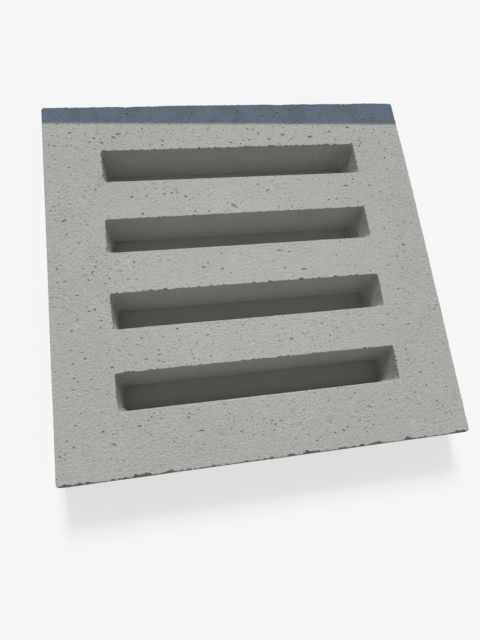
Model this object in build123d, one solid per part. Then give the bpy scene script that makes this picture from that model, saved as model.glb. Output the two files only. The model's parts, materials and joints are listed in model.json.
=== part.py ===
from build123d import *
import os
from math import radians, sqrt, tan

# Concrete grate: a cast slab with a row of tapered slots right through it.
# Millimetres and degrees, +Z up, lying flat, origin under the middle of the slab.
# X runs along the slots. The near side is -Y and the far side is +Y.

# Driving dimensions of the slab
face_width = 400.0
face_depth = 387.0
thickness = 42.0
outer_draft = 2.0
plan_corner_radius = 5.0
outer_arris_radius = 1.5
base_arris_radius = 1.0

# Driving dimensions of the slots, measured on the top face
left_margin = 56.7
right_margin = 62.3
near_margin = 59.7
far_margin = 53.8
slot_width = 36.4
narrowest_rib = 40.0
slot_near_draft = 6.2
slot_far_draft = 10.1
slot_end_draft = 6.2
slot_corner_radius = 2.5
slot_arris_radius = 0.8
cutter_overrun = 2.0

# Chips knocked out of the top arris: distance along the edge, chord and depth of the scar
near_edge_chips = [
    (5.0, 15.0, 2.6),
    (29.0, 8.0, 1.6),
    (75.0, 19.0, 3.2),
    (97.0, 14.0, 1.8),
    (232.0, 14.0, 2.6),
    (301.0, 17.0, 2.0),
    (335.0, 11.0, 2.0),
    (389.0, 22.0, 2.6),
]
far_edge_chips = [
    (88.0, 12.0, 1.4),
    (262.0, 10.0, 1.2),
    (341.0, 13.0, 1.5),
]

# Worked out from the driving dimensions
slot_length = face_width - left_margin - right_margin
slotted_depth = face_depth - near_margin - far_margin
slot_count = max(1, int((slotted_depth + narrowest_rib) // (slot_width + narrowest_rib)))
slot_pitch = (slotted_depth - slot_width) / max(1, slot_count - 1)
slot_x = (left_margin - right_margin) / 2
first_slot_y = near_margin + slot_width / 2 - face_depth / 2
outer_lean = thickness * tan(radians(outer_draft))


def slot_section(height):
    """Plan of a slot at a height: it narrows downwards, most of all from its far side."""
    drop = thickness - height
    near_inset = drop * tan(radians(slot_near_draft))
    far_inset = drop * tan(radians(slot_far_draft))
    length = slot_length - 2 * drop * tan(radians(slot_end_draft))
    width = slot_width - near_inset - far_inset
    radius = min(slot_corner_radius, 0.4 * width)
    middle = (near_inset - far_inset) / 2
    return Pos(0, middle, height) * RectangleRounded(length, width, radius)


def slot_cutter():
    """The tapered core that leaves one slot, running past both faces."""
    return loft([slot_section(-cutter_overrun), slot_section(thickness + cutter_overrun)])


def slab_blank():
    """The slab before its slots: a rounded rectangle whose sides lean out downwards."""
    top = Pos(0, 0, thickness) * RectangleRounded(face_width, face_depth, plan_corner_radius)
    base = RectangleRounded(
        face_width + 2 * outer_lean,
        face_depth + 2 * outer_lean,
        plan_corner_radius + outer_lean,
    )
    return loft([base, top])


def chip_cutter(chord, depth):
    """A ball that scoops a shell-shaped scar out of an arris lying along X through the origin.

    The outside of the edge is towards -Y and +Z.
    """
    ball_radius = (chord**2 / 4 + depth**2) / (2 * depth)
    stand_off = (ball_radius - depth) / sqrt(2)
    return Pos(0, -stand_off, stand_off) * Sphere(ball_radius)


def grate_slab():
    """The whole casting: blank, rounded arrises, slots and chips."""
    slab = slab_blank()
    outer_top = slab.edges().group_by(Axis.Z)[-1]
    slab = fillet(outer_top, outer_arris_radius)
    outer_base = slab.edges().group_by(Axis.Z)[0]
    slab = fillet(outer_base, base_arris_radius)
    for index in range(slot_count):
        slab -= Pos(slot_x, first_slot_y + index * slot_pitch, 0) * slot_cutter()
    rims = slab.faces().sort_by(Axis.Z)[-1].inner_wires()
    slab = fillet(ShapeList(edge for rim in rims for edge in rim.edges()), slot_arris_radius)
    for distance, chord, depth in near_edge_chips:
        place = Pos(distance - face_width / 2, -face_depth / 2, thickness)
        slab -= place * chip_cutter(chord, depth)
    for distance, chord, depth in far_edge_chips:
        place = Pos(distance - face_width / 2, face_depth / 2, thickness) * Rot(0, 0, 180)
        slab -= place * chip_cutter(chord, depth)
    return slab


os.makedirs("parts", exist_ok=True)
export_step(grate_slab(), "parts/grate_slab.step")
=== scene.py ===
"""Looks of a cast concrete grate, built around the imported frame.

The casting is one closed mesh, worked out in millimetres from three kinds of surface:

* a rim is the worn arris round the slab or a slot: a profile carried along a rounded rectangle;
* a panel is a face or a wall between rims: laid out flat, then bent into place by a function of
  two parameters;
* a bowl is the inside of an air void: the lower half of an ellipsoid under its own uneven rim.

The near side is -Y, the far side +Y, and the slots run along X.
"""

import json
import logging
from collections.abc import Callable, Iterable, Sequence
from dataclasses import dataclass, field
from enum import Enum
from itertools import product
from math import pi, radians, sin

import bmesh
import bpy
import numpy as np
from mathutils import Matrix, Vector
from mathutils.geometry import delaunay_2d_cdt


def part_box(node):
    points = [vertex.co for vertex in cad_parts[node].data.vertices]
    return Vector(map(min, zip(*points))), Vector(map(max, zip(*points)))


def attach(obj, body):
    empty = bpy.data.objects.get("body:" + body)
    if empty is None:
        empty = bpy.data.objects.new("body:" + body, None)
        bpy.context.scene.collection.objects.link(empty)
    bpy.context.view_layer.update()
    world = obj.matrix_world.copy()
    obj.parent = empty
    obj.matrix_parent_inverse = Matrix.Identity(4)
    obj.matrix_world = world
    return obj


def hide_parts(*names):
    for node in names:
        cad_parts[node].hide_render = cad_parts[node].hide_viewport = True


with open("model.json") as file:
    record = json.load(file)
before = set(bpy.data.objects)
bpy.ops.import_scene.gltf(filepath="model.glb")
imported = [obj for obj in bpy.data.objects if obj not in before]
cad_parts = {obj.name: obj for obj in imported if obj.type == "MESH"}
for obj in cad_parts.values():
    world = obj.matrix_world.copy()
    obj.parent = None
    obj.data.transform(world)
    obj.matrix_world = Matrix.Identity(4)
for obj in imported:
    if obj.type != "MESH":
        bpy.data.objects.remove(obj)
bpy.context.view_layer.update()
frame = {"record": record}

Array = np.ndarray
Surface = Callable[[Array, Array], Array]

MM = 0.001
NODE = "grate_slab"
BODY = "root"

log = logging.getLogger("grate")


def tone(red: float, green: float, blue: float) -> tuple[float, float, float, float]:
    """Turns a colour as a screen shows it, 0 to 255 a channel, into linear red, green, blue and alpha.

    Args:
        red: Red as shown.
        green: Green as shown.
        blue: Blue as shown.

    Returns:
        The linear colour, opaque.
    """
    shown = np.array([red, green, blue]) / 255
    linear = np.where(shown > 0.04045, ((shown + 0.055) / 1.055) ** 2.4, shown / 12.92)
    return (*(float(value) for value in linear), 1.0)


class Face(Enum):
    """The two flat faces of the slab."""

    TOP = "top"
    BASE = "base"


class Grit:
    """Smooth, repeatable noise between -1 and 1, from random values on a cubic lattice."""

    CELLS = 4096

    def __init__(self, seed: int) -> None:
        """Draws the lattice values and the order that scrambles them."""
        draw = np.random.default_rng(seed)
        self.values = draw.uniform(-1.0, 1.0, self.CELLS)
        self.order = draw.permutation(self.CELLS)

    def at(self, points: Array, wavelength: float) -> Array:
        """Noise at each point.

        The eight lattice values round the point are blended by the smooth step of how far across
        its cell the point lies.

        Args:
            points: Places in millimetres, three to a point on the last axis.
            wavelength: Lattice spacing in millimetres.

        Returns:
            One value for each point.
        """
        cell = points / wavelength
        corner = np.floor(cell).astype(int)
        share = cell - corner
        step = share * share * (3 - 2 * share)
        total = np.zeros(points.shape[:-1])
        for reach in product((0, 1), repeat=3):
            key = corner + np.array(reach)
            weight = np.where(reach, step, 1 - step).prod(axis=-1)
            total += weight * self.values[self._scramble(key)]
        return total

    def _scramble(self, key: Array) -> Array:
        """Turns a lattice place into an index, by looking each coordinate up in the shuffled order."""
        index = self.order[key[..., 0] % self.CELLS]
        index = self.order[(index + key[..., 1]) % self.CELLS]
        return self.order[(index + key[..., 2]) % self.CELLS]


def inside(ring: Array, points: Array) -> Array:
    """Tells which points a closed ring holds, by counting the edges to the right of each.

    Args:
        ring: Corners of the ring in order, two to a corner.
        points: Places to test, two to a point.

    Returns:
        True for each point inside.
    """
    start, end = ring, np.roll(ring, -1, axis=0)
    above_start = start[None, :, 1] > points[:, None, 1]
    above_end = end[None, :, 1] > points[:, None, 1]
    crosses = above_start != above_end
    rise = np.where(crosses, end[None, :, 1] - start[None, :, 1], 1.0)
    share = (points[:, None, 1] - start[None, :, 1]) / rise
    meet = start[None, :, 0] + share * (end - start)[None, :, 0]
    hits = crosses & (meet > points[:, None, 0])
    return hits.sum(axis=1) % 2 == 1


def clearance(points: Array, others: Array, block: int = 256) -> Array:
    """Distance from each point to the nearest of the others.

    Args:
        points: Places, two to a point.
        others: Places to keep away from.
        block: How many points are measured at once, to spare memory.

    Returns:
        One distance for each point.
    """
    nearest = np.empty(len(points))
    for first in range(0, len(points), block):
        gap = points[first : first + block, None, :] - others[None, :, :]
        nearest[first : first + block] = np.sqrt((gap**2).sum(axis=-1).min(axis=1))
    return nearest


def with_middles(ring: Array) -> Array:
    """A ring's points, and the middles between them."""
    return np.concatenate([ring, (ring + np.roll(ring, -1, axis=0)) / 2])


def closed_pairs(count: int) -> Array:
    """Index pairs that join a ring's points one after another and close it."""
    index = np.arange(count)
    return np.stack([index, np.roll(index, -1)], axis=1)


@dataclass
class Patch:
    """A piece of the skin before it is merged with the rest."""

    points: Array
    faces: list[list[int]]
    # void: painted shade, 0 to 1, darkest at the bottom of air voids, also on broken crumbs and the
    # near-facing arris
    void: Array
    wear: Array


@dataclass(frozen=True)
class Chip:
    """A scar knocked out of an arris, measured from the face's near left corner in millimetres."""

    x: float
    y: float
    chord: float
    reach: float


@dataclass(frozen=True)
class Void:
    """An open air void in the face, measured from the face's near left corner in millimetres."""

    x: float
    y: float
    length: float
    breadth: float
    turn: float = 0.0


@dataclass(frozen=True)
class Pitting:
    """A patch of the face with more or fewer pits than elsewhere, in millimetres.

    Strength is the share added at its middle, and it fades like a bell over the two reaches.
    """

    x: float
    y: float
    reach_x: float
    reach_y: float
    strength: float


@dataclass(frozen=True)
class Wear:
    """How far an arris is worn back in millimetres, by the way its edge faces in plan.

    Painted near shade is painted shade: how dark the lower half of the rounding is made where it faces near,
    away from the lamp, 0 to 1.
    """

    rounding: float
    near: float
    far: float
    ends: float
    painted_near_shade: float = 0.0


@dataclass
class SlabSizes:
    """Sizes of the casting in millimetres: the frame gives the outside and the slots' places."""

    outer_lean: float = 1.2
    plan_radius: float = 3.5
    slot_length: float = 280.0
    slot_width: float = 36.4
    near_lean: float = 4.5
    far_lean: float = 7.5
    end_lean: float = 4.6
    slot_radius: float = 2.5
    slot_ends: tuple[tuple[float, float], ...] = ((-0.6, 0.7), (-0.2, 0.0), (0.0, 0.5), (0.7, 1.9))
    skin: float = 0.25
    half: tuple[float, float] = field(init=False)
    height: float = field(init=False)
    slots: list[tuple[float, float, float]] = field(init=False)

    def __post_init__(self) -> None:
        """Reads the slab's box and the openings' places from the frame.

        An opening's box is clear from top to bottom, so its middle lies off the middle of the
        slot's rim by half of what the far wall leans more than the near one.
        """
        _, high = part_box(NODE)
        self.half = (high.x / MM - self.outer_lean, high.y / MM - self.outer_lean)
        self.height = high.z / MM
        openings = frame["record"]["physics"]["openings"]
        middles = [np.array(opening["box_m"]).mean(axis=0) / MM for opening in openings]
        offset = (self.far_lean - self.near_lean) / 2
        self.slots = [
            (middle[0] + (left + right) / 2, middle[1] + offset, self.slot_length + right - left)
            for middle, (left, right) in zip(middles, self.slot_ends)
        ]

    @property
    def top(self) -> float:
        """Height of the top face, a skin's depth under the CAD face."""
        return self.height - self.skin

    @property
    def wall(self) -> float:
        """Height of the walls between the two faces."""
        return self.height - 2 * self.skin


@dataclass
class Loop:
    """A rounded rectangle round the slab or a slot, which changes size on its way down."""

    centre: tuple[float, float]
    half: tuple[float, float]
    radius: float
    lean: tuple[float, float]
    air: int
    top: float
    wall: float
    drift: float = 0.0
    knots: Array = field(init=False)

    ACROSS = (-1, 1, 1, 1, 1, -1, -1, -1, -1)
    ALONG = (-1, -1, -1, 1, 1, 1, 1, -1, -1)
    TURN = (-90, -90, 0, 0, 90, 90, 180, 180, 270)
    LEAST_RADIUS = 0.4
    CORNER_STEPS = 6

    def __post_init__(self) -> None:
        """Adds up the lengths of the four sides and corners, anticlockwise from the near left."""
        side_x = 2 * (self.half[0] - self.radius)
        side_y = 2 * (self.half[1] - self.radius)
        corner = self.radius * pi / 2
        lengths = [side_x, corner, side_y, corner] * 2
        self.knots = np.concatenate([[0.0], np.cumsum(lengths)])

    @property
    def length(self) -> float:
        """Distance once round the loop on the face."""
        return float(self.knots[-1])

    def stations(self, spacing: float) -> Array:
        """Distances along the loop at which the profile is set.

        Args:
            spacing: Largest step along the straight sides.

        Returns:
            Distances from the start of the near side, rising, without the closing one.
        """
        runs = []
        for index, (start, end) in enumerate(zip(self.knots[:-1], self.knots[1:])):
            steps = self.CORNER_STEPS if index % 2 else int(np.ceil((end - start) / spacing))
            runs.append(np.linspace(start, end, steps, endpoint=False))
        return np.concatenate(runs)

    def outward(self, run: Array) -> Array:
        """Plan direction that points out of the loop at each distance along it."""
        turn = np.radians(np.interp(run, self.knots, self.TURN))
        return np.stack([np.cos(turn), np.sin(turn)], axis=-1)

    def place(self, run: Array, offset: Array, depth: Array) -> Array:
        """Points beside the wall.

        The point slides along the inner rectangle whose corners carry the radius, then goes out
        by the radius. An offset into the air makes the rectangle larger round the slab and
        smaller round a slot, and depth adds its share of the lean and of the centre's drift.

        Args:
            run: Distance along the loop.
            offset: Distance from the wall into the air, negative into the concrete.
            depth: Distance below the top face.

        Returns:
            Points in millimetres.
        """
        run, offset, depth = np.broadcast_arrays(run, offset, depth)
        across = np.interp(run, self.knots, self.ACROSS)
        along = np.interp(run, self.knots, self.ALONG)
        out = self.outward(run)
        growth = self.air * offset
        share = depth / self.wall
        radius = np.maximum(self.radius + growth, self.LEAST_RADIUS)
        half_x = self.half[0] + self.lean[0] * share + growth - radius
        half_y = self.half[1] + self.lean[1] * share + growth - radius
        x = self.centre[0] + across * half_x + radius * out[..., 0]
        y = self.centre[1] + self.drift * share + along * half_y + radius * out[..., 1]
        return np.stack([x, y, self.top - depth], axis=-1)


class Rim:
    """The worn arris where a wall meets a face: a profile carried along a loop."""

    STEPS = 7
    COLLAR = 0.5
    NIBBLE_SIZE = 2.0
    NIBBLE_LEVEL = 0.2
    CHIP_DROP = 1.3
    ROUGHNESS = 0.3
    GRAIN_SIZE = 1.4
    SWELL_SIZE = 11.0
    # How dark broken crumbs and chips are made: painted shade on faces turned from the lamp
    CRUMB_SHADE = 0.8

    def __init__(
        self,
        loop: Loop,
        face: Face,
        wear: Wear,
        spacing: float,
        grit: Grit,
        chips: Sequence[Chip] = (),
    ) -> None:
        """Works out how far each station is worn and sets the profile there.

        Args:
            loop: The rounded rectangle that the rim follows.
            face: The face that the rim borders.
            wear: How the arris is worn.
            spacing: Step along the straight sides.
            grit: Noise that makes the wear uneven.
            chips: Scars in this arris, in the row frame's plan.
        """
        self.loop = loop
        self.face = face
        self.run = loop.stations(spacing)
        edge = loop.place(self.run, np.zeros(1), np.full(1, self._depth(np.zeros(1))[0]))
        reach, drop, hollow, broken = self._worn(edge, wear, grit, chips)
        angle = np.linspace(0, pi / 2, self.STEPS)[:, None]
        offset = -reach * ((1 - hollow) * (1 - np.sin(angle)) + hollow * np.cos(angle))
        depth = drop * ((1 - hollow) * (1 - np.cos(angle)) + hollow * np.sin(angle))
        rough = grit.at(loop.place(self.run, offset, depth), self.GRAIN_SIZE)
        bite = self.ROUGHNESS * reach * np.sin(2 * angle) * rough
        offset = np.vstack([-(reach + self.COLLAR)[None], offset + bite, np.zeros((1, len(reach)))])
        depth = np.vstack([np.zeros((1, len(reach))), depth - bite, (drop + self.COLLAR)[None]])
        self.points = loop.place(self.run, offset, self._depth(depth))
        self.face_ring = self.points[0, :, :2]
        self.wall_ring = np.stack([self.run, self._depth(depth[-1])], axis=-1)
        fade = np.concatenate([[0.0], np.sin(2 * angle[:, 0]), [0.0]])[:, None]
        self.wear = fade * np.clip(reach / 2, 0, 1) * (1 - broken)
        # Painted shade on the lower half of the rounding where it faces near, away from the lamp
        facing_near = np.clip(-self.loop.outward(self.run)[:, 1], 0, 1)
        low = np.concatenate([[0.0], np.sin(angle[:, 0]) ** 2, [1.0]])[:, None]
        # The void value here is painted shade: on broken crumbs and chips, and the painted near shade
        self.void = np.maximum(fade * broken * self.CRUMB_SHADE, wear.painted_near_shade * low * facing_near)

    def _depth(self, below_edge: Array) -> Array:
        """Distance under the top face, from the distance between a point and the rim's face."""
        return below_edge if self.face is Face.TOP else self.loop.wall - below_edge

    def _worn(
        self, edge: Array, wear: Wear, grit: Grit, chips: Sequence[Chip]
    ) -> tuple[Array, Array, Array, Array]:
        """How far the arris is worn back at each station.

        A swelling rounding, plus nibbles where noise rises over a level, plus each chip as the
        half circle over its chord.

        Args:
            edge: The sharp edge before wear.
            wear: Rounding and crumble by direction.
            grit: Noise.
            chips: Scars.

        Returns:
            Reach across the face, drop down the wall, how hollow the profile is and how broken the
            arris is, both 0 to 1.
        """
        out = self.loop.outward(self.run)
        weakness = (
            wear.near * np.clip(-out[:, 1], 0, 1)
            + wear.far * np.clip(out[:, 1], 0, 1)
            + wear.ends * np.abs(out[:, 0])
        )
        swell = grit.at(edge, self.SWELL_SIZE)
        level = self.NIBBLE_LEVEL
        peaks = np.clip((grit.at(edge + 50, self.NIBBLE_SIZE) - level) / (1 - level), 0, 1)
        small = np.clip(grit.at(edge + 90, self.GRAIN_SIZE), 0, 1)
        nibble = weakness * (peaks + 0.25 * small)
        scar = np.zeros(len(edge))
        for chip in chips:
            away = np.hypot(edge[:, 0] - chip.x, edge[:, 1] - chip.y) / (chip.chord / 2)
            scar = np.maximum(scar, chip.reach * np.sqrt(np.clip(1 - away**2, 0, 1)))
        scar *= 0.75 + 0.6 * grit.at(edge + 20, self.NIBBLE_SIZE)
        reach = wear.rounding * (1 + 0.3 * swell) + np.maximum(nibble, scar)
        skew = 1 + 0.25 * grit.at(edge + 70, 2 * self.NIBBLE_SIZE)
        drop = wear.rounding * (1 - 0.3 * swell) + self.CHIP_DROP * skew * np.maximum(nibble, scar)
        broken = np.clip(np.maximum(nibble, scar), 0, 1)
        return reach, drop, 0.5 * broken, broken

    def patch(self) -> Patch:
        """The rim as a closed strip of quads between its rows."""
        rows, count = self.points.shape[:2]
        row = np.arange(rows - 1)[:, None] * count
        here, there = closed_pairs(count).T
        quads = np.stack([row + here, row + there, row + count + there, row + count + here], -1)
        return Patch(
            points=self.points.reshape(-1, 3),
            faces=quads.reshape(-1, 4).tolist(),
            void=self.void.reshape(-1),
            wear=self.wear.reshape(-1),
        )


@dataclass
class Bowls:
    """Air voids of about one size: their rims are cut into a panel and bowls hang from them."""

    centre: Array
    long: Array
    short: Array
    turn: Array
    deep: Array
    segments: int
    rings: int
    grit: Grit

    UNEVEN = 0.16

    @property
    def rims(self) -> Array:
        """Rim points of each void: an ellipse with uneven radius, turned to its own direction."""
        angle = np.linspace(0, 2 * pi, self.segments, endpoint=False)[None, :]
        seed = np.stack(
            [
                np.cos(angle) + 3 * self.centre[:, :1],
                np.sin(angle) + 3 * self.centre[:, 1:],
                np.zeros((len(self.centre), self.segments)),
            ],
            axis=-1,
        )
        swell = 1 + self.UNEVEN * self.grit.at(seed, 0.9)
        along = self.long[:, None] / 2 * np.cos(angle) * swell
        aside = self.short[:, None] / 2 * np.sin(angle) * swell
        cos, sine = np.cos(self.turn)[:, None], np.sin(self.turn)[:, None]
        x = self.centre[:, :1] + along * cos - aside * sine
        y = self.centre[:, 1:] + along * sine + aside * cos
        return np.stack([x, y], axis=-1)

    def patch(self, surface: Surface) -> Patch:
        """Bowls under the rims.

        Ring k of a bowl stands in from the rim by the cosine of its angle and lies as deep as the
        sine, which is the lower half of an ellipsoid, and the last point closes it.

        Args:
            surface: Bends flat places and depths into the row frame.

        Returns:
            The bowls' skin.
        """
        count = len(self.centre)
        angle = np.linspace(0, pi / 2, self.rings + 1)[:-1]
        middle = self.centre[:, None, None, :]
        flat = middle + (self.rims[:, None] - middle) * np.cos(angle)[None, :, None, None]
        sink = self.deep[:, None, None] * np.sin(angle)[None, :, None]
        sink = np.broadcast_to(sink, flat.shape[:-1])
        walls = surface(flat.reshape(-1, 2), sink.reshape(-1))
        bottoms = surface(self.centre, self.deep)
        here, there = closed_pairs(self.segments).T
        start = np.arange(count)[:, None, None] * self.rings * self.segments
        row = start + np.arange(self.rings - 1)[None, :, None] * self.segments
        quads = np.stack(
            [row + here, row + there, row + self.segments + there, row + self.segments + here], -1
        )
        last = start[:, 0] + (self.rings - 1) * self.segments
        tips = np.broadcast_to(len(walls) + np.arange(count)[:, None], (count, self.segments))
        fans = np.stack([last + here, last + there, tips], -1)
        # Void darkening rises from the rim to the bottom: painted shade inside the void
        depth = np.broadcast_to(np.sin(angle)[None, :, None], flat.shape[:-1]).reshape(-1)
        return Patch(
            points=np.concatenate([walls, bottoms]),
            faces=quads.reshape(-1, 4).tolist() + fans.reshape(-1, 3).tolist(),
            void=np.concatenate([depth, np.ones(count)]),
            wear=np.zeros(len(walls) + count),
        )


@dataclass(frozen=True)
class VoidScatter:
    """How thickly small air voids lie on a panel, in millimetres."""

    density: float
    smallest: float = 1.1
    largest: float = 3.6
    steepness: float = 2.6
    gap: float = 0.55
    depth: tuple[float, float] = (0.2, 0.45)


class Panel:
    """A face or a wall between rims, laid out flat, with its air voids cut in."""

    FILL = 6.5
    MERGE = 1e-7
    PICKED_SHARE = 0.32
    PICKED_DEPTH = 0.9
    GROUPS = ((0.0, 7, 2), (1.7, 10, 3), (3.0, 14, 4))

    def __init__(
        self,
        name: str,
        surface: Surface,
        border: Array,
        holes: Sequence[Array],
        scatter: VoidScatter,
        picked: Sequence[Void],
        grit: Grit,
        seed: int,
        creases: Array | None = None,
        pitting: Callable[[Array], Array] | None = None,
    ) -> None:
        """Lays out the voids and the fill points of a panel.

        Args:
            name: What the log calls the panel.
            surface: Bends flat places and depths into the row frame.
            border: Ring round the panel, anticlockwise, in flat places.
            holes: Rings of the openings in it, anticlockwise.
            scatter: How thickly small voids lie.
            picked: Voids given one by one, in flat places.
            grit: Noise for the rims of voids.
            seed: Seed of the scatter.
            creases: Places on the panel's bends, which no void crosses.
            pitting: Share of the scatter that each flat place keeps, 0 to 1.
        """
        self.name = name
        self.surface = surface
        self.border = border
        self.holes = list(holes)
        self.draw = np.random.default_rng(seed)
        rings = np.concatenate([with_middles(ring) for ring in (border, *holes)])
        guards = rings if creases is None else np.concatenate([rings, creases])
        voids = self._spread(scatter, picked, guards, pitting)
        self.groups = self._grouped(voids, grit)
        rims = [group.rims.reshape(-1, 2) for group in self.groups]
        self.fill = self._fill(np.concatenate([rings, *rims]))

    def _on_panel(self, points: Array) -> Array:
        """True for each flat place inside the border and outside the holes."""
        kept = inside(self.border, points)
        for hole in self.holes:
            kept &= ~inside(hole, points)
        return kept

    def _spread(
        self,
        scatter: VoidScatter,
        picked: Sequence[Void],
        rings: Array,
        pitting: Callable[[Array], Array] | None,
    ) -> Array:
        """Picks places and sizes for the voids, the large ones first and none over another.

        Args:
            scatter: Density and sizes of the small voids.
            picked: Voids given one by one, which always stay.
            rings: Border points to keep clear of.
            pitting: Share of the scatter that each flat place keeps.

        Returns:
            One row for each void: x, y, length, breadth, turn and depth.
        """
        low, high = self.border.min(axis=0), self.border.max(axis=0)
        count = int(scatter.density * np.prod(high - low))
        places = self.draw.uniform(low, high, (count, 2))
        power = -1 / scatter.steepness
        length = np.sort(scatter.smallest * self.draw.uniform(0.0, 1.0, count) ** power)[::-1]
        length = np.clip(length, scatter.smallest, scatter.largest)
        breadth = length * self.draw.uniform(0.62, 1.0, count)
        turn = self.draw.uniform(0, pi, count)
        deep = breadth * self.draw.uniform(*scatter.depth, count)
        table = np.column_stack([places, length, breadth, turn, deep])
        room = clearance(places, rings) - length / 2
        stays = self._on_panel(places) & (room > scatter.gap)
        if pitting is not None:
            stays &= self.draw.uniform(0.0, 1.0, count) < pitting(places)
        table = table[stays]
        kept = [
            (void.x, void.y, void.length, void.breadth, radians(void.turn), self._picked_depth(void))
            for void in picked
        ]
        for row in table:
            taken = np.array(kept).reshape(-1, 6)
            apart = np.hypot(taken[:, 0] - row[0], taken[:, 1] - row[1])
            if np.all(apart > (taken[:, 2] + row[2]) / 2 * (1 + Bowls.UNEVEN) + scatter.gap):
                kept.append(tuple(row))
        return np.array(kept)

    def _picked_depth(self, void: Void) -> float:
        """How deep a listed void is: a share of its breadth, up to a limit."""
        return min(self.PICKED_SHARE * void.breadth, self.PICKED_DEPTH)

    def _grouped(self, voids: Array, grit: Grit) -> list[Bowls]:
        """Sorts the voids into groups that have as many points each as their size needs."""
        limits = [limit for limit, _, _ in self.GROUPS[1:]]
        group_of = np.digitize(voids[:, 2], limits)
        groups = []
        for index, (_, segments, rings) in enumerate(self.GROUPS):
            chosen = voids[group_of == index]
            if len(chosen):
                x, y, length, breadth, turn, deep = chosen.T
                centre = np.column_stack([x, y])
                groups.append(Bowls(centre, length, breadth, turn, deep, segments, rings, grit))
        return groups

    def _fill(self, taken: Array) -> Array:
        """Points between the rings, on a grid of equal triangles, clear of every ring."""
        low, high = self.border.min(axis=0), self.border.max(axis=0)
        rise = self.FILL * np.sqrt(3) / 2
        x, y = np.meshgrid(np.arange(low[0], high[0], self.FILL), np.arange(low[1], high[1], rise))
        x = x + self.FILL / 2 * (np.arange(len(y)) % 2)[:, None]
        points = np.column_stack([x.ravel(), y.ravel()])
        points = points[self._on_panel(points)]
        return points[clearance(points, taken) > 0.4 * self.FILL]

    def patches(self) -> Iterable[Patch]:
        """The panel's flat skin, then the bowls of each group of voids."""
        yield self._skin()
        for group in self.groups:
            yield group.patch(self.surface)

    def _skin(self) -> Patch:
        """The skin between the rings.

        The rings and fill points are joined into triangles that keep every ring's edges. A
        triangle whose corners all lie on one ring, in the ring's own order, is inside that ring:
        there a hole has none, and the border has only those.
        """
        rings = [self.border, *self.holes]
        for group in self.groups:
            rings.extend(group.rims)
        sizes = [len(ring) for ring in rings]
        starts = np.concatenate([[0], np.cumsum(sizes)])
        flat = np.concatenate([*rings, self.fill])
        edges = np.concatenate([closed_pairs(size) + at for size, at in zip(sizes, starts)])
        coordinates = [Vector(point) for point in flat.tolist()]
        made = delaunay_2d_cdt(coordinates, edges.tolist(), [], 0, self.MERGE, False)
        if len(made[0]) != len(flat):
            raise ValueError(f"{self.name}: rings cross, {len(made[0])} points for {len(flat)}")
        triangles = np.array(made[2])
        side_a = flat[triangles[:, 1]] - flat[triangles[:, 0]]
        side_b = flat[triangles[:, 2]] - flat[triangles[:, 0]]
        clockwise = side_a[:, 0] * side_b[:, 1] < side_a[:, 1] * side_b[:, 0]
        triangles[clockwise] = triangles[clockwise][:, ::-1]
        ring_of = np.concatenate([np.repeat(np.arange(len(rings)), sizes), np.full(len(self.fill), -1)])
        place_on = np.concatenate([*(np.arange(size) for size in sizes), np.zeros(len(self.fill))])
        owner = ring_of[triangles]
        alone = (owner[:, 0] >= 0) & (owner == owner[:, :1]).all(axis=1)
        round_ring = np.array([*sizes, 1])[owner[:, 0]]
        order = place_on[triangles]
        steps = (np.roll(order, -1, axis=1) - order) % round_ring[:, None]
        within = steps.sum(axis=1) == round_ring
        wrong = alone & np.where(owner[:, 0] == 0, ~within, within)
        return Patch(
            points=self.surface(flat, np.zeros(len(flat))),
            faces=triangles[~wrong].tolist(),
            void=np.zeros(len(flat)),
            wear=np.zeros(len(flat)),
        )


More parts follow.
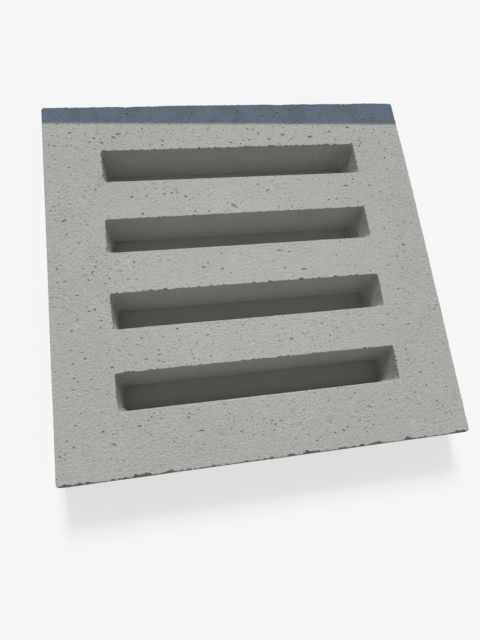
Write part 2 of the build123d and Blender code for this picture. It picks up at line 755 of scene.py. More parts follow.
class Casting:
    """The whole concrete casting as one closed mesh."""

    TOP_SPACING = 1.0
    BASE_SPACING = 2.6
    SEAM_STEPS = 6
    MERGE = 1e-6
    SHARP = 38.0
    RELIEF = 0.16
    RELIEF_SIZE = 34.0

    # The top rim's near-facing rounding carries painted shade on its lower half
    TOP_WEAR = Wear(rounding=0.9, near=1.6, far=0.3, ends=0.5, painted_near_shade=0.8)
    BASE_WEAR = Wear(rounding=1.1, near=0.5, far=0.5, ends=0.5)
    SLOT_WEAR = Wear(rounding=0.35, near=0.3, far=1.7, ends=1.6)
    SLOT_BASE_WEAR = Wear(rounding=0.3, near=0.2, far=0.2, ends=0.2)

    TOP_VOIDS = VoidScatter(density=0.0135, smallest=1.65, largest=2.9, steepness=2.6, depth=(0.12, 0.34))
    WALL_VOIDS = VoidScatter(density=0.0020, smallest=1.0, largest=2.6)
    BASE_VOIDS = VoidScatter(density=0.0013)

    # How far the upper edge stands out, along the left and the right side from the near corner and
    # along the near and the far side from the left corner
    LEFT_DRIFT = ((0, 0.4), (387, 0.5))
    RIGHT_DRIFT = ((15, 1.2), (50, 0.9), (115, 1.15), (140, 0.8), (235, 0.4), (310, -0.3), (387, -2.0))
    NEAR_DRIFT = ((0, -0.4), (400, -0.4))
    FAR_DRIFT = ((0, 0.5), (90, 0.35), (150, 1.1), (240, 1.0), (300, 0.6), (380, 0.5), (400, -0.3))
    DRIFT_REACH = 50.0

    # How full the near left corner of each slot is cast
    CORNER_FULL = 1.3
    CORNER_REACH = 11.0

    # Patches of the face with more or fewer pits: place, reach both ways and strength
    PITTINGS = (
        Pitting(70, 352, 45, 18, 1.2),
        Pitting(35, 268, 32, 42, 0.35),
        Pitting(345, 272, 26, 22, 0.6),
        Pitting(280, 352, 45, 15, 0.3),
        Pitting(200, 36, 48, 18, 0.6),
        Pitting(52, 190, 26, 30, 0.35),
        Pitting(370, 58, 34, 20, 0.35),
        Pitting(200, 3, 400, 15, -0.65),
        Pitting(394, 225, 16, 90, -0.5),
        Pitting(122, 203, 26, 12, -0.5),
        Pitting(140, 353, 20, 14, -0.4),
    )
    FEWEST_PITS = 0.2
    MOST_PITS = 2.2

    # Scars in the top arris, from the face's near left corner: place, chord and reach
    CHIPS = (
        Chip(8, 0, 12, 2.6),
        Chip(20, 0, 7, 1.6),
        Chip(29, 0, 8, 2.0),
        Chip(75, 0, 17, 3.4),
        Chip(97, 0, 14, 2.2),
        Chip(214, 0, 9, 1.4),
        Chip(232, 0, 14, 2.8),
        Chip(266, 0, 12, 1.4),
        Chip(301, 0, 17, 2.4),
        Chip(335, 0, 11, 2.4),
        Chip(386, 0, 16, 2.6),
        Chip(396, 0, 8, 3.0),
        Chip(88, 387, 16, 0.6),
        Chip(262, 387, 22, 0.9),
        Chip(341, 387, 16, 0.6),
        Chip(57, 222, 7, 2.6),
        Chip(57, 139, 6, 2.4),
        Chip(231, 60, 4, 1.4),
        Chip(260, 60, 4, 1.2),
    )

    # The air voids that show most in the face: place, length, breadth and turn in degrees
    PICKED = (
        Void(192, 262, 9, 4, -40),
        Void(52, 31, 6, 2.6, -32),
        Void(132, 34, 7, 2.2, -5),
        Void(231, 279, 5.5, 3.2, 30),
        Void(258, 347, 6, 3.6, 13),
        Void(290, 344, 7.5, 3.2, 12),
        Void(72, 349, 5.5, 3.6, -7),
        Void(76, 45, 4, 3),
        Void(17, 33, 3.2, 2.8),
        Void(43, 44, 3.2, 2.8),
        Void(232, 113, 4, 3.5),
        Void(142, 276, 4.6, 3, -26),
        Void(257, 186, 6, 3),
        Void(28, 356, 3.8, 2.8),
        Void(77, 353, 4.6, 2.5, 10),
        Void(42, 198, 6, 2.3, 67),
        Void(18, 255, 5.6, 3, 40),
        Void(152, 196, 4, 3.3),
        Void(45, 204, 3.4, 2.5, 51),
        Void(270, 17, 4.3, 2.7, -50),
        Void(234, 209, 6.5, 2.7),
        Void(55, 102, 3.6, 2.6),
        Void(47, 149, 3.4, 2.2),
        Void(42, 160, 3.7, 2.6, -41),
        Void(242, 342, 3.9, 2.6, -22),
        Void(351, 79, 3.5, 2.4, 90),
        Void(16, 191, 3.3, 2.3),
        Void(374, 206, 4, 3.4),
        Void(337, 355, 5.4, 2.8, -8),
        Void(300, 37, 5.2, 2.2, -32),
        Void(170, 28, 4.1, 2.5, 100),
        Void(321, 281, 6.5, 2.5, -8),
        Void(314, 350, 4.3, 2.9),
        Void(87, 107, 3.9, 2.1),
        Void(20, 240, 3.9, 2.1, 90),
        Void(198, 339, 3.2, 2.6),
        Void(332, 118, 3, 2.5),
        Void(19, 85, 3.2, 2),
        Void(87, 52, 2.8, 2.5),
        Void(148, 125, 4.3, 1.9),
        Void(37, 159, 3.4, 2.6),
        Void(31, 113, 3.2, 2.4),
        Void(244, 207, 3.2, 2.3),
        Void(219, 342, 3.4, 2.4),
        Void(60, 343, 3.2, 2.4),
        Void(201, 26, 3.0, 2.3),
        Void(52, 349, 3.3, 2.4),
        Void(47, 344, 2.8, 2.2),
        Void(219, 112, 2.9, 2.2),
        Void(171, 193, 3.4, 2.4),
        Void(343, 40, 2.9, 2.2),
        Void(310, 118, 2.8, 2.2),
        Void(362, 65, 3.2, 2.3),
        Void(360, 117, 2.9, 2.2),
        Void(221, 287, 3.0, 2.3),
        Void(76, 189, 3.0, 2.3),
        Void(20, 109, 3.2, 2.3),
        Void(84, 128, 3.2, 2.2),
        Void(20, 141, 3.1, 2.3),
    )

    def __init__(self, sizes: SlabSizes) -> None:
        """Sets the loops and the noise.

        Args:
            sizes: Sizes of the casting.
        """
        self.sizes = sizes
        self.grit = Grit(seed=11)
        self.corner = np.array(sizes.half) * -1
        outer = Loop(
            centre=(0.0, 0.0),
            half=(sizes.half[0] - sizes.skin, sizes.half[1] - sizes.skin),
            radius=sizes.plan_radius,
            lean=(sizes.outer_lean, sizes.outer_lean),
            air=1,
            top=sizes.top,
            wall=sizes.wall,
        )
        slots = [
            Loop(
                centre=(x, y),
                half=(length / 2, sizes.slot_width / 2),
                radius=sizes.slot_radius,
                lean=(-sizes.end_lean, -(sizes.near_lean + sizes.far_lean) / 2),
                air=-1,
                top=sizes.top,
                wall=sizes.wall,
                drift=(sizes.near_lean - sizes.far_lean) / 2,
            )
            for x, y, length in sizes.slots
        ]
        chips = [
            Chip(chip.x + self.corner[0], chip.y + self.corner[1], chip.chord, chip.reach)
            for chip in self.CHIPS
        ]
        self.slots = slots
        top, base = self.TOP_SPACING, self.BASE_SPACING
        self.top_rims = [Rim(outer, Face.TOP, self.TOP_WEAR, top, self.grit, chips)]
        self.base_rims = [Rim(outer, Face.BASE, self.BASE_WEAR, base, self.grit)]
        for loop in slots:
            self.top_rims.append(Rim(loop, Face.TOP, self.SLOT_WEAR, top, self.grit, chips))
            self.base_rims.append(Rim(loop, Face.BASE, self.SLOT_BASE_WEAR, base, self.grit))

    def pitted(self, flat: Array) -> Array:
        """How thickly pits lie at each plan place, where 1 is the usual: 1 plus every patch's bell."""
        total = np.ones(len(flat))
        for patch in self.PITTINGS:
            across = (flat[:, 0] - self.corner[0] - patch.x) / patch.reach_x
            along = (flat[:, 1] - self.corner[1] - patch.y) / patch.reach_y
            total += patch.strength * np.exp(-(across**2) - along**2)
        return np.clip(total, self.FEWEST_PITS, self.MOST_PITS)

    def _top_surface(self, flat: Array, sink: Array) -> Array:
        """The top face: plan places, sunk below the face."""
        return np.column_stack([flat, self.sizes.top - sink])

    def _base_surface(self, flat: Array, sink: Array) -> Array:
        """The underside: plan places, sunk up into the slab."""
        return np.column_stack([flat, self.sizes.skin + sink])

    def _wall_panel(self, name: str, top: Rim, base: Rim, seed: int) -> Panel:
        """A wall unrolled: distance along its loop by distance below the top face.

        Args:
            name: What the log calls the wall.
            top: Rim at its upper edge.
            base: Rim at its lower edge.
            seed: Seed of its voids.

        Returns:
            The wall's panel.
        """
        loop = top.loop
        once_round = np.array([[loop.length, 0.0]])
        upper = np.concatenate([top.wall_ring, top.wall_ring[:1] + once_round])
        lower = np.concatenate([base.wall_ring, base.wall_ring[:1] + once_round])
        seam = np.linspace(upper[0, 1], lower[0, 1], self.SEAM_STEPS + 2)[1:-1]
        right = np.column_stack([np.full(len(seam), loop.length), seam])
        left = np.column_stack([np.zeros(len(seam)), seam[::-1]])
        border = np.concatenate([upper, right, lower[::-1], left])

        def surface(flat: Array, sink: Array) -> Array:
            """The wall: run along the loop, depth, and sunk into the concrete."""
            return loop.place(flat[:, 0], -sink, flat[:, 1])

        down = np.arange(0.0, self.sizes.wall)
        creases = np.column_stack([np.repeat(loop.knots, len(down)), np.tile(down, len(loop.knots))])
        return Panel(name, surface, border, (), self.WALL_VOIDS, (), self.grit, seed, creases)

    def panels(self) -> list[Panel]:
        """The top, the underside, the outer wall and the wall of each slot."""
        picked = [
            Void(void.x + self.corner[0], void.y + self.corner[1], void.length, void.breadth, void.turn)
            for void in self.PICKED
        ]
        top_rings = [rim.face_ring for rim in self.top_rims]
        base_rings = [rim.face_ring for rim in self.base_rims]
        panels = [
            Panel(
                "top face",
                self._top_surface,
                top_rings[0],
                top_rings[1:],
                self.TOP_VOIDS,
                picked,
                self.grit,
                seed=3,
                pitting=lambda flat: self.pitted(flat) / self.MOST_PITS,
            ),
            Panel(
                "underside",
                self._base_surface,
                base_rings[0],
                base_rings[1:],
                self.BASE_VOIDS,
                (),
                self.grit,
                seed=5,
            ),
        ]
        for index, (top, base) in enumerate(zip(self.top_rims, self.base_rims)):
            name = f"slot wall {index}" if index else "outer wall"
            panels.append(self._wall_panel(name, top, base, seed=20 + index))
        return panels

    def _settle(self, points: Array) -> Array:
        """Moves the skin off its exact form, as a cast slab is.

        Slow noise is added along each axis. The upper edges of the four sides also drift off their
        straight lines, and the drift fades to nothing at the base and inwards. A bell over the near
        left corner of each slot pushes it inwards.
        """
        uneven = [self.grit.at(points + 200 * axis, self.RELIEF_SIZE) for axis in range(1, 4)]
        moved = points + self.RELIEF * np.stack(uneven, axis=-1)
        along = points[:, :2] - self.corner
        height = points[:, 2] / self.sizes.height
        for axis, low, high in ((0, self.LEFT_DRIFT, self.RIGHT_DRIFT), (1, self.NEAR_DRIFT, self.FAR_DRIFT)):
            for side, drift in ((-1, low), (1, high)):
                inset = -self.corner[axis] - side * points[:, axis]
                fade = np.clip(1 - inset / self.DRIFT_REACH, 0, 1) * height
                moved[:, axis] += side * fade * np.interp(along[:, 1 - axis], *zip(*drift))
        for loop in self.slots:
            away = np.hypot(
                points[:, 0] - loop.centre[0] + loop.half[0], points[:, 1] - loop.centre[1] + loop.half[1]
            )
            moved[:, 0] += self.CORNER_FULL * np.exp(-((away / self.CORNER_REACH) ** 2))
        return moved

    def build(self, material: bpy.types.Material) -> bpy.types.Object:
        """Joins rims, panels and bowls into one closed mesh and sets it on the frame.

        Args:
            material: The concrete.

        Returns:
            The finished piece, which stands for the CAD node.
        """
        patches = [rim.patch() for rim in self.top_rims + self.base_rims]
        for panel in self.panels():
            made = list(panel.patches())
            count = sum(len(group.centre) for group in panel.groups)
            log.info("%s: %d faces, %d voids", panel.name, sum(len(p.faces) for p in made), count)
            patches.extend(made)
        starts = np.cumsum([0, *(len(patch.points) for patch in patches)])
        points = self._settle(np.concatenate([patch.points for patch in patches]))
        faces = [
            [int(start) + index for index in face]
            for patch, start in zip(patches, starts)
            for face in patch.faces
        ]
        mesh = bpy.data.meshes.new("grate_skin")
        mesh.from_pydata((points * MM).tolist(), [], faces)
        layers = {name: np.concatenate([getattr(p, name) for p in patches]) for name in ("void", "wear")}
        layers["pitted"] = self.pitted(points[:, :2])
        for name, values in layers.items():
            layer = mesh.attributes.new(name, "FLOAT", "POINT")
            layer.data.foreach_set("value", values.astype(np.float32))
        self._close(mesh)
        mesh.materials.append(material)
        piece = bpy.data.objects.new("cast_slab", mesh)
        bpy.context.scene.collection.objects.link(piece)
        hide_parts(NODE)
        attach(piece, BODY)
        return piece

    def _close(self, mesh: bpy.types.Mesh) -> None:
        """Merges the patches' shared points, turns every face outwards and smooths all but edges."""
        work = bmesh.new()
        work.from_mesh(mesh)
        bmesh.ops.remove_doubles(work, verts=work.verts[:], dist=self.MERGE)
        bmesh.ops.recalc_face_normals(work, faces=work.faces[:])
        open_edges = sum(not edge.is_manifold for edge in work.edges)
        triangles = sum(len(face.verts) - 2 for face in work.faces)
        log.info("casting: %d triangles, %d open edges", triangles, open_edges)
        work.to_mesh(mesh)
        work.free()
        mesh.polygons.foreach_set("use_smooth", np.ones(len(mesh.polygons), bool))
        mesh.set_sharp_from_angle(angle=radians(self.SHARP))


class Wiring:
    """Adds and joins the nodes of one node tree."""

    def __init__(self, tree: bpy.types.NodeTree) -> None:
        """Takes the tree to fill."""
        self.tree = tree

    def add(self, kind: str, inputs: dict | None = None, **settings: object) -> bpy.types.Node:
        """Adds a node.

        Args:
            kind: Blender's name of the node type.
            inputs: Socket name or number to a value, or to the socket that feeds it.
            settings: Properties of the node.

        Returns:
            The node.
        """
        node = self.tree.nodes.new(kind)
        for name, value in settings.items():
            setattr(node, name, value)
        for key, value in (inputs or {}).items():
            if isinstance(value, bpy.types.NodeSocket):
                self.tree.links.new(value, node.inputs[key])
            else:
                node.inputs[key].default_value = value
        return node

    def math(self, operation: str, *values: object) -> bpy.types.NodeSocket:
        """A Math node's result, from one to three values or sockets."""
        inputs = dict(enumerate(values))
        return self.add("ShaderNodeMath", inputs, operation=operation).outputs[0]

    def mix(self, share: object, first: object, second: object) -> bpy.types.NodeSocket:
        """A colour between two, from the first at share 0 to the second at share 1."""
        inputs = {0: share, 6: first, 7: second}
        return self.add("ShaderNodeMix", inputs, data_type="RGBA").outputs[2]

    def ramp(self, value: object, low: float, high: float) -> bpy.types.NodeSocket:
        """A smooth step from 0 at low to 1 at high."""
        inputs = {"Value": value, "From Min": low, "From Max": high}
        return self.add("ShaderNodeMapRange", inputs, interpolation_type="SMOOTHSTEP").outputs[0]


def new_group(name: str, inputs: dict[str, str], outputs: dict[str, str]) -> bpy.types.NodeTree:
    """Makes a shader node group with named sockets.

    Args:
        name: Name of the group.
        inputs: Input names to socket types.
        outputs: Output names to socket types.

    Returns:
        The group, with its input and output nodes in place.
    """
    group = bpy.data.node_groups.new(name, "ShaderNodeTree")
    for socket, kind in inputs.items():
        group.interface.new_socket(socket, in_out="INPUT", socket_type=kind)
    for socket, kind in outputs.items():
        group.interface.new_socket(socket, in_out="OUTPUT", socket_type=kind)
    group.nodes.new("NodeGroupInput")
    group.nodes.new("NodeGroupOutput")
    return group


def ends_of(group: bpy.types.NodeTree) -> tuple[bpy.types.Node, bpy.types.Node]:
    """The input and the output node of a group."""
    return group.nodes["Group Input"], group.nodes["Group Output"]


def mottle_group() -> bpy.types.NodeTree:
    """Cloudy and grainy variation of cement, as two values round one half.

    Three noises of falling size: clouds, blotches and grit. Tint adds all three by their
    strengths, and Grit is the last alone, for height.
    """
    sizes = {"Cloud Size": "NodeSocketFloat", "Blotch Size": "NodeSocketFloat", "Grit Size": "NodeSocketFloat"}
    group = new_group(
        "cement_mottle",
        {"Vector": "NodeSocketVector", **sizes},
        {"Tint": "NodeSocketFloat", "Grit": "NodeSocketFloat"},
    )
    wires = Wiring(group)
    start, end = ends_of(group)
    noises = []
    for name in sizes:
        scale = wires.math("DIVIDE", 1.0, start.outputs[name])
        inputs = {"Vector": start.outputs["Vector"], "Scale": scale, "Detail": 3.0, "Roughness": 0.65}
        noises.append(wires.add("ShaderNodeTexNoise", inputs).outputs[0])
    clouds = wires.math("MULTIPLY", noises[0], 0.3)
    blotches = wires.math("MULTIPLY_ADD", noises[1], 0.35, clouds)
    total = wires.math("MULTIPLY_ADD", noises[2], 1.3, blotches)
    tint = wires.math("SUBTRACT", total, 0.475)
    group.links.new(tint, end.inputs["Tint"])
    group.links.new(noises[2], end.inputs["Grit"])
    return group


def pore_group() -> bpy.types.NodeTree:
    """Fine open pores: round dots of random size in some of the cells of a cell pattern.

    A slow noise thins them out between patches that keep the whole share.
    """
    group = new_group(
        "fine_pores",
        {
            "Vector": "NodeSocketVector",
            "Spacing": "NodeSocketFloat",
            "Radius": "NodeSocketFloat",
            "Share": "NodeSocketFloat",
            "Patch Size": "NodeSocketFloat",
        },
        {"Mask": "NodeSocketFloat"},
    )
    wires = Wiring(group)
    start, end = ends_of(group)
    patch_scale = wires.math("DIVIDE", 1.0, start.outputs["Patch Size"])
    inputs = {"Vector": start.outputs["Vector"], "Scale": patch_scale, "Detail": 1.0}
    patches = wires.ramp(wires.add("ShaderNodeTexNoise", inputs).outputs[0], 0.42, 0.62)
    share = wires.math("MULTIPLY", start.outputs["Share"], wires.math("MULTIPLY_ADD", patches, 0.85, 0.15))
    scale = wires.math("DIVIDE", 1.0, start.outputs["Spacing"])
    cells = wires.add("ShaderNodeTexVoronoi", {"Vector": start.outputs["Vector"], "Scale": scale})
    chance = wires.add("ShaderNodeSeparateColor", {"Color": cells.outputs["Color"]})
    radius = wires.math("MULTIPLY", start.outputs["Radius"], scale)
    size = wires.math("MULTIPLY_ADD", chance.outputs[0], 0.6, 0.4)
    edge = wires.math("MULTIPLY", radius, size)
    near = wires.math("DIVIDE", cells.outputs["Distance"], edge)
    dot = wires.ramp(near, 1.0, 0.55)
    present = wires.math("LESS_THAN", chance.outputs[1], share)
    mask = wires.math("MULTIPLY", dot, present)
    group.links.new(mask, end.inputs["Mask"])
    return group


@dataclass(frozen=True)
class PaintedShadowStrip:
    """A painted shadow: the blue-grey strip of cast shadow along the far edge of the face, in metres from the
    row frame's origin.
    """

    # Tones of the painted shadow: dull and blue, mixed by a slow noise, with lighter specks
    dull: tuple[float, float, float, float] = tone(81, 91, 101)
    blue: tuple[float, float, float, float] = tone(86, 99, 116)
    speck: tuple[float, float, float, float] = tone(130, 140, 150)
    speck_share: float = 0.3
    drift_size: float = 0.022
    edge_left: float = 0.1747
    edge_right: float = 0.1643
    softness: float = 0.0045
    raggedness: float = 0.006
    cover: float = 1.0


@dataclass(frozen=True)
class ConcreteFinish:
    """Matt cast concrete: greenish grey, mottled, with dusty worn edges; painted shade darkens its pores,
    voids, crumbs and near arris, and a painted shadow lies along the far edge.
    """

    light: tuple[float, float, float, float] = tone(186.2, 189.2, 182.6)
    dark: tuple[float, float, float, float] = tone(155.2, 157.2, 151.6)
    # Tone of painted shade in the fine pores
    pore_shade: tuple[float, float, float, float] = tone(98, 99, 90)
    # Tone of painted shade in voids, on crumbs and on the near-facing arris
    hollow: tuple[float, float, float, float] = tone(104, 104, 95)
    dust: tuple[float, float, float, float] = tone(194, 197, 189)
    cloud_size: float = 0.045
    blotch_size: float = 0.007
    grit_size: float = 0.0023
    middle_reach: float = 0.07
    margin_reach: float = 0.20
    middle_light: float = 0.16
    warm: tuple[float, float, float, float] = tone(214, 171, 158)
    warm_share: float = 0.04
    pore_spacing: float = 0.0030
    pore_radius: float = 0.0009
    pore_share: float = 0.3
    patch_size: float = 0.055
    bump_depth: float = 0.0013
    roughness: float = 0.92
    # Painted shadow along the far edge of the face
    strip: PaintedShadowStrip = PaintedShadowStrip()

    def material(self, half_width: float) -> bpy.types.Material:
        """Builds the concrete material.

        Args:
            half_width: Half the slab's width in metres, between the two ends of the strip's edge.

        Returns:
            The material.
        """
        material = bpy.data.materials.new("cast_concrete")
        material.use_nodes = True
        tree = material.node_tree
        tree.nodes.clear()
        wires = Wiring(tree)
        place = wires.add("ShaderNodeTexCoord").outputs["Object"]
        mottle = wires.add("ShaderNodeGroup", node_tree=mottle_group())
        for name, value in (
            ("Cloud Size", self.cloud_size),
            ("Blotch Size", self.blotch_size),
            ("Grit Size", self.grit_size),
        ):
            mottle.inputs[name].default_value = value
        tree.links.new(place, mottle.inputs["Vector"])
        pores = wires.add("ShaderNodeGroup", node_tree=pore_group())
        for name, value in (
            ("Spacing", self.pore_spacing),
            ("Radius", self.pore_radius),
            ("Patch Size", self.patch_size),
        ):
            pores.inputs[name].default_value = value
        tree.links.new(place, pores.inputs["Vector"])
        pitted = wires.add("ShaderNodeAttribute", attribute_name="pitted").outputs["Fac"]
        tree.links.new(wires.math("MULTIPLY", pitted, self.pore_share), pores.inputs["Share"])
        void = wires.add("ShaderNodeAttribute", attribute_name="void").outputs["Fac"]
        wear = wires.add("ShaderNodeAttribute", attribute_name="wear").outputs["Fac"]
        middle = self._middle(wires, place)
        lift = wires.math("MULTIPLY_ADD", middle, self.middle_light, -self.middle_light / 2)
        colour = wires.mix(wires.math("ADD", mottle.outputs["Tint"], lift), self.dark, self.light)
        colour = wires.mix(wires.math("MULTIPLY", middle, self.warm_share), colour, self.warm)
        colour = wires.mix(wires.math("MULTIPLY", wear, 0.35), colour, self.dust)
        # Painted shade: the fine pores darkened towards the pore shade tone
        colour = wires.mix(wires.math("MULTIPLY", pores.outputs["Mask"], 0.42), colour, self.pore_shade)
        # Painted shade: colour darkened towards the hollow tone by the void attribute, in voids, on crumbs and
        # on the near-facing arris
        colour = wires.mix(wires.math("MULTIPLY", void, 0.4), colour, self.hollow)
        grain = mottle.outputs["Grit"]
        # Painted shadow: the far strip of the face is coloured as the blue-grey cast shadow
        strip = self._painted_shadow_mask(wires, place, grain, half_width)
        drift = self._cloud(wires, place, self.strip.drift_size, 0.38, 0.62)
        blue = wires.mix(drift, self.strip.dull, self.strip.blue)
        specks = wires.math("MULTIPLY", mottle.outputs["Tint"], self.strip.speck_share)
        colour = wires.mix(strip, colour, wires.mix(specks, blue, self.strip.speck))
        height = wires.math("MULTIPLY_ADD", pores.outputs["Mask"], -1.0, grain)
        bump = wires.add("ShaderNodeBump", {"Height": height, "Distance": self.bump_depth, "Strength": 0.8})
        rough = wires.math("MULTIPLY_ADD", grain, -0.1, self.roughness)
        shader = wires.add(
            "ShaderNodeBsdfPrincipled",
            {"Base Color": colour, "Roughness": rough, "Normal": bump.outputs[0], "IOR": 1.45},
        )
        shader.inputs["Specular IOR Level"].default_value = 0.3
        wires.add("ShaderNodeOutputMaterial", {"Surface": shader.outputs[0]})
        return material

    @staticmethod
    def _cloud(
        wires: Wiring, place: bpy.types.NodeSocket, size: float, low: float, high: float
    ) -> bpy.types.NodeSocket:
        """A slow noise of the given size, stretched from its low to its high onto 0 to 1."""
        inputs = {"Vector": place, "Scale": 1 / size, "Detail": 2.0}
        return wires.ramp(wires.add("ShaderNodeTexNoise", inputs).outputs[0], low, high)

    def _middle(self, wires: Wiring, place: bpy.types.NodeSocket) -> bpy.types.NodeSocket:
        """1 in the middle of the slab and 0 at its margins, by the distance from its axis."""
        level = wires.add("ShaderNodeVectorMath", {0: place, 1: (1.0, 1.0, 0.0)}, operation="MULTIPLY")
        away = wires.add("ShaderNodeVectorMath", {0: level.outputs[0]}, operation="LENGTH")
        return wires.ramp(away.outputs["Value"], self.margin_reach, self.middle_reach)

    def _painted_shadow_mask(
        self,
        wires: Wiring,
        place: bpy.types.NodeSocket,
        grain: bpy.types.NodeSocket,
        half_width: float,
    ) -> bpy.types.NodeSocket:
        """How much painted shadow covers a place: a soft step across a line that the grain breaks up.

        Args:
            wires: Node tree to add to.
            place: Object coordinates.
            grain: Height of the grit, round one half.
            half_width: Half the slab's width in metres.

        Returns:
            0 on bare concrete, the strip's cover in the painted shadow.
        """
        strip = self.strip
        axes = wires.add("ShaderNodeSeparateXYZ", {"Vector": place}).outputs
        slope = (strip.edge_right - strip.edge_left) / (2 * half_width)
        middle = (strip.edge_right + strip.edge_left) / 2
        line = wires.math("MULTIPLY_ADD", axes[0], slope, middle)
        broken = wires.math("MULTIPLY_ADD", grain, strip.raggedness, -strip.raggedness / 2)
        past = wires.math("ADD", wires.math("SUBTRACT", axes[1], line), broken)
        step = wires.ramp(past, -strip.softness / 2, strip.softness / 2)
        return wires.math("MULTIPLY", step, strip.cover)


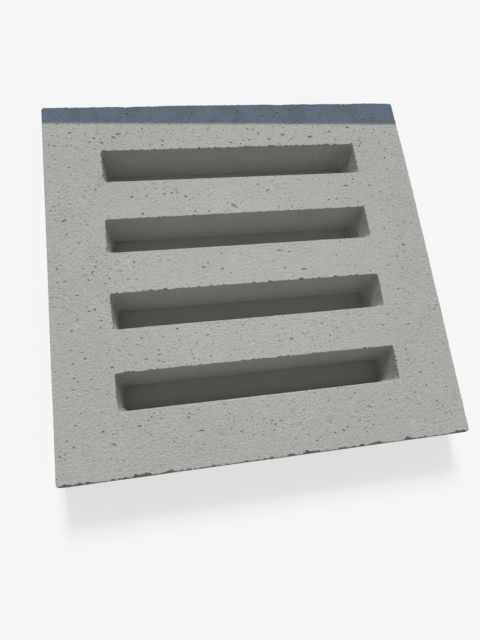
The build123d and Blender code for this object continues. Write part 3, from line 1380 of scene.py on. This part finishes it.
@dataclass(frozen=True)
class Studio:
    """A pale floor with painted shade under the slab, one soft lamp from the far side and a plain pale
    surround.
    """

    seen: tuple[float, float, float, float] = (0.93, 0.93, 0.93, 1.0)
    bounce: tuple[float, float, float, float] = (0.35, 0.35, 0.35, 1.0)
    painted_shade_under_slab: tuple[float, float, float, float] = (0.32, 0.33, 0.31, 1.0)
    even: float = 0.72
    floor_size: float = 30.0
    shade_inset: tuple[float, float] = (0.025, 0.045)
    lamp_elevation: float = 42.0
    lamp_azimuth: float = 91.0
    lamp_spread: float = 16.0
    lamp_strength: float = 3.2
    surround: float = 0.36
    ends_dim: float = 0.5

    def build(self) -> None:
        """Adds floor, lamp and surround."""
        self._floor()
        self._lamp()
        self._surround()

    def _floor(self) -> None:
        """A flat square, pale where it is seen and darker where it only throws light back, and painted a dull
        grey under the slab as painted shade that shows through the slots.
        """
        half = self.floor_size / 2
        mesh = bpy.data.meshes.new("floor")
        corners = [(-half, -half, 0), (half, -half, 0), (half, half, 0), (-half, half, 0)]
        mesh.from_pydata(corners, [], [(0, 1, 2, 3)])
        floor = bpy.data.objects.new("floor", mesh)
        bpy.context.scene.collection.objects.link(floor)
        material = bpy.data.materials.new("floor")
        material.use_nodes = True
        tree = material.node_tree
        tree.nodes.clear()
        wires = Wiring(tree)
        # Painted shade: under the slab the floor is a dull grey and gives no even glow
        ground = wires.mix(self._under_slab_shade(wires), self.seen, self.painted_shade_under_slab)
        colour = wires.mix(self._looked_at(wires), self.bounce, ground)
        matt = wires.add("ShaderNodeBsdfDiffuse", {"Color": colour})
        even = wires.add("ShaderNodeEmission", {"Color": self.seen})
        clear = wires.math("SUBTRACT", 1.0, self._under_slab_shade(wires))
        share = wires.math("MULTIPLY", wires.math("MULTIPLY", self._looked_at(wires), clear), self.even)
        shader = wires.add("ShaderNodeMixShader", {0: share, 1: matt.outputs[0], 2: even.outputs[0]})
        wires.add("ShaderNodeOutputMaterial", {"Surface": shader.outputs[0]})
        mesh.materials.append(material)

    def _under_slab_shade(self, wires: Wiring) -> bpy.types.NodeSocket:
        """1 on the painted shade under the slab, fading to 0 before its outline."""
        place = wires.add("ShaderNodeTexCoord").outputs["Object"]
        axes = wires.add("ShaderNodeSeparateXYZ", {"Vector": place}).outputs
        _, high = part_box(NODE)
        inset = []
        for axis, half in ((axes[0], high.x), (axes[1], high.y)):
            inset.append(wires.math("SUBTRACT", half, wires.math("ABSOLUTE", axis)))
        nearest = wires.math("MINIMUM", *inset)
        return wires.ramp(nearest, *self.shade_inset)

    @staticmethod
    def _looked_at(wires: Wiring) -> bpy.types.NodeSocket:
        """1 for what the camera sees, directly or in a gloss or through glass."""
        path = wires.add("ShaderNodeLightPath").outputs
        either = wires.math("MAXIMUM", path["Is Camera Ray"], path["Is Glossy Ray"])
        return wires.math("MAXIMUM", either, path["Is Transmission Ray"])

    def _lamp(self) -> None:
        """A distant lamp with a wide disc, which gives even light and soft shadow edges."""
        lamp = bpy.data.lights.new("key", "SUN")
        lamp.energy = self.lamp_strength
        lamp.angle = radians(self.lamp_spread)
        rise, turn = radians(self.lamp_elevation), radians(self.lamp_azimuth)
        towards = Vector((np.cos(turn) * np.cos(rise), np.sin(turn) * np.cos(rise), sin(rise)))
        key = bpy.data.objects.new("key", lamp)
        key.rotation_mode = "QUATERNION"
        key.rotation_quaternion = towards.to_track_quat("Z", "Y")
        bpy.context.scene.collection.objects.link(key)

    def _surround(self) -> None:
        """Soft light from all round, weaker along X, which shows as the pale of the floor.

        The light falls off by the square of how far its direction leans along X.
        """
        world = bpy.data.worlds.new("surround")
        bpy.context.scene.world = world
        world.use_nodes = True
        tree = world.node_tree
        tree.nodes.clear()
        wires = Wiring(tree)
        share = self._looked_at(wires)
        towards = wires.add("ShaderNodeTexCoord").outputs["Generated"]
        along = wires.add("ShaderNodeSeparateXYZ", {"Vector": towards}).outputs[0]
        lean = wires.math("MULTIPLY", along, along)
        glow = wires.math("MULTIPLY_ADD", lean, -self.surround * self.ends_dim, self.surround)
        colour = wires.mix(share, glow, self.seen)
        light = wires.add("ShaderNodeBackground", {"Color": colour, "Strength": 1.0})
        wires.add("ShaderNodeOutputWorld", {"Surface": light.outputs[0]})


@dataclass(frozen=True)
class Viewpoint:
    """Where the photograph was taken from, in metres, looking steeply down at the slab."""

    eye: tuple[float, float, float] = (-0.1048, -0.1771, 0.5234)
    forward: tuple[float, float, float] = (0.17274, 0.23902, -0.95553)
    up: tuple[float, float, float] = (0.08702, 0.96261, 0.25652)
    sensor: float = 36.0
    focal_pixels: float = 503.0
    frame_pixels: float = 640.0
    off_centre_pixels: tuple[float, float] = (0.55, -0.4)

    def build(self) -> None:
        """Adds the camera: its axes are right, up and back, and the tall side carries the sensor."""
        back = -Vector(self.forward).normalized()
        right = Vector(self.up).cross(back).normalized()
        up = back.cross(right)
        data = bpy.data.cameras.new("camera")
        data.sensor_width = self.sensor
        data.lens = self.focal_pixels / self.frame_pixels * self.sensor
        data.shift_x = -self.off_centre_pixels[0] / self.frame_pixels
        data.shift_y = -self.off_centre_pixels[1] / self.frame_pixels
        data.clip_start = 0.01
        data.clip_end = 60.0
        camera = bpy.data.objects.new("camera", data)
        turn = Matrix((right, up, back)).transposed().to_4x4()
        camera.matrix_world = Matrix.Translation(self.eye) @ turn
        bpy.context.scene.collection.objects.link(camera)
        bpy.context.scene.camera = camera


def main() -> None:
    """Builds the casting, the studio and the camera."""
    logging.basicConfig(level=logging.INFO, format="%(name)s: %(message)s")
    bpy.context.scene.view_settings.view_transform = "Standard"
    sizes = SlabSizes()
    concrete = ConcreteFinish().material(sizes.half[0] * MM)
    piece = Casting(sizes).build(concrete)
    log.info("%s stands for %s", piece.name, NODE)
    Studio().build()
    Viewpoint().build()
    log.info("floor, lamp, surround and camera are in place")
    bpy.context.view_layer.update()


if __name__ == "__main__":
    main()
